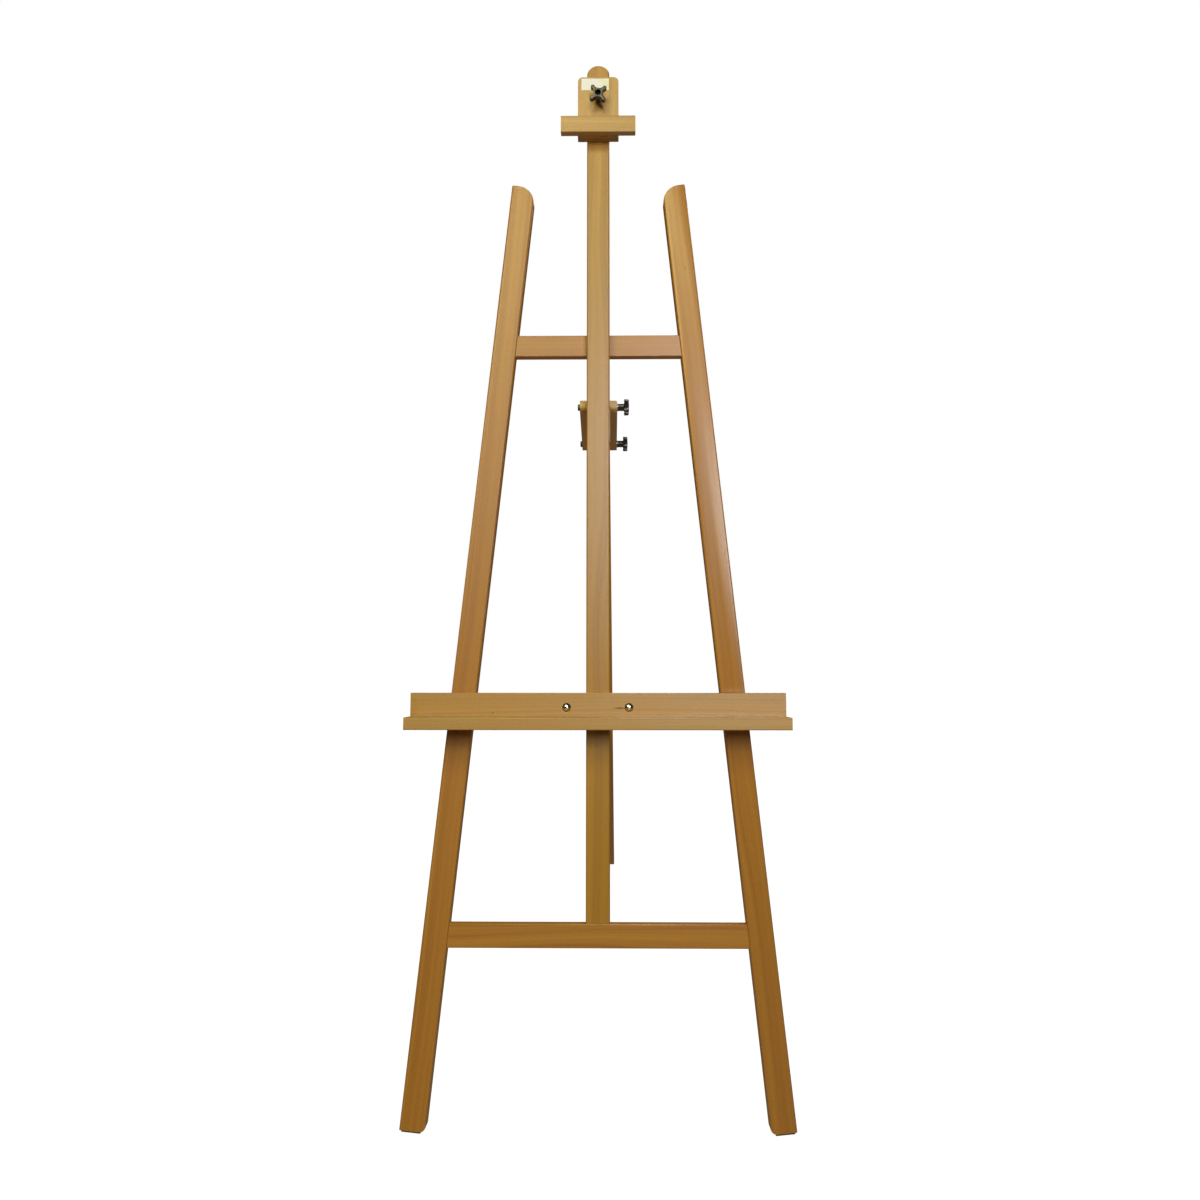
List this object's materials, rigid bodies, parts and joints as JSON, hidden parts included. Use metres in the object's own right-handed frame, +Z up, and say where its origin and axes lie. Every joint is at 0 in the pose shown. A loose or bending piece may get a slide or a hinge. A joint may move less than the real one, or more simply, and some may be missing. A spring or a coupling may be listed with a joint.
{
  "type": "studio easel",
  "caption": "Beech studio easel: splayed front legs and crossbars, centre mast, sliding canvas tray and clamping top holder, and a rear leg that folds on two link arms.",
  "frame": {"origin": "on the floor, under the middle of the open easel's footprint", "axes": "+Z up, +X to the painter's right, -Y is the front that the canvas faces"},
  "size_m": [0.5738, 0.8472, 1.5841],
  "materials": {
    "leg_wood": "satin, clear-lacquered beech",
    "mast_wood": "satin, clear-lacquered beech",
    "fitting_wood": "satin, clear-lacquered beech",
    "dowel_wood": "plain beech dowel",
    "knob_plastic": "black, moulded",
    "pad_rubber": "black, matt",
    "bolt_steel": "bright plated",
    "dark_steel": "zinc plated, dull",
    "insert_brass": "plain",
    "label_paper": "blank paper label"
  },
  "bodies": {
    "front_frame": {"left_leg": "leg_wood", "right_leg": "leg_wood", "upper_crossbar": "leg_wood", "lower_crossbar": "leg_wood", "mast": "mast_wood", "crossbar_dowels": "dowel_wood", "mast_dowel": "dowel_wood", "mast_screws": "dark_steel", "left_foot_pad": "pad_rubber", "right_foot_pad": "pad_rubber", "hinge_block": "mast_wood", "hinge_block_screws": "dark_steel"},
    "arms": {"left_arm": "fitting_wood", "right_arm": "fitting_wood", "upper_pivot_bolt": "dark_steel", "lower_pivot_bolt": "dark_steel", "pivot_washers": "dark_steel"},
    "upper_knob": {"upper_arm_knob": "knob_plastic", "upper_knob_insert": "dark_steel"},
    "lower_knob": {"lower_arm_knob": "knob_plastic", "lower_knob_insert": "dark_steel"},
    "rear_support": {"rear_leg": "leg_wood", "rear_foot_pad": "pad_rubber"},
    "tray": {"tray_board": "fitting_wood", "tray_ledge": "fitting_wood", "tray_screws": "dark_steel", "tray_clamp_strip": "fitting_wood", "tray_bolts": "bolt_steel", "tray_washers": "dark_steel"},
    "tray_knob_left": {"left_tray_knob": "knob_plastic", "left_tray_knob_insert": "dark_steel"},
    "tray_knob_right": {"right_tray_knob": "knob_plastic", "right_tray_knob_insert": "dark_steel"},
    "canvas_holder": {"holder_plate": "fitting_wood", "holder_bar": "fitting_wood", "holder_bar_screws": "dark_steel", "holder_guides": "fitting_wood", "holder_back_plate": "fitting_wood", "holder_back_screws": "dark_steel", "holder_insert": "insert_brass", "holder_label": "label_paper"},
    "clamp_knob": {"holder_knob": "knob_plastic", "holder_clamp_screw": "dark_steel"}
  },
  "joints": [
    {"name": "arm_fold", "type": "hinge", "parent": "front_frame", "child": "arms", "pos_m": [0, -0.06763, 1.03954], "axis": [-1, 0, 0], "range_deg": [-15.2, 78.94]},
    {"name": "rear_leg_fold", "type": "hinge", "parent": "arms", "child": "rear_support", "pos_m": [0, 0.0482, 0.98052], "axis": [1, 0, 0], "range_deg": [-8.1, 42.5]},
    {"name": "upper_knob_turn", "type": "hinge", "parent": "arms", "child": "upper_knob", "pos_m": [0.038, -0.06763, 1.03954], "axis": [1, 0, 0], "range_deg": [0, 360]},
    {"name": "lower_knob_turn", "type": "hinge", "parent": "arms", "child": "lower_knob", "pos_m": [0.038, 0.0482, 0.98052], "axis": [1, 0, 0], "range_deg": [0, 360]},
    {"name": "tray_slide", "type": "slide", "parent": "front_frame", "child": "tray", "axis": [0, 0.2712, 0.9625], "range_m": [-0.25, 0.3]},
    {"name": "left_tray_knob_turn", "type": "hinge", "parent": "tray", "child": "tray_knob_left", "pos_m": [-0.0466, -0.21718, 0.5807], "axis": [0, 0.9625, -0.2712], "range_deg": [0, 360]},
    {"name": "right_tray_knob_turn", "type": "hinge", "parent": "tray", "child": "tray_knob_right", "pos_m": [0.0466, -0.21718, 0.5807], "axis": [0, 0.9625, -0.2712], "range_deg": [0, 360]},
    {"name": "holder_slide", "type": "slide", "parent": "front_frame", "child": "canvas_holder", "axis": [0, 0.2712, 0.9625], "range_m": [-0.31, 0.04]},
    {"name": "clamp_knob_turn", "type": "hinge", "parent": "canvas_holder", "child": "clamp_knob", "pos_m": [0, -0.00558, 1.52261], "axis": [0, -0.9625, 0.2712], "range_deg": [0, 360]}
  ],
  "couplings": [
    {"joint": "arm_fold", "follows": "rear_leg_fold", "ratio": 1.8525}
  ]
}
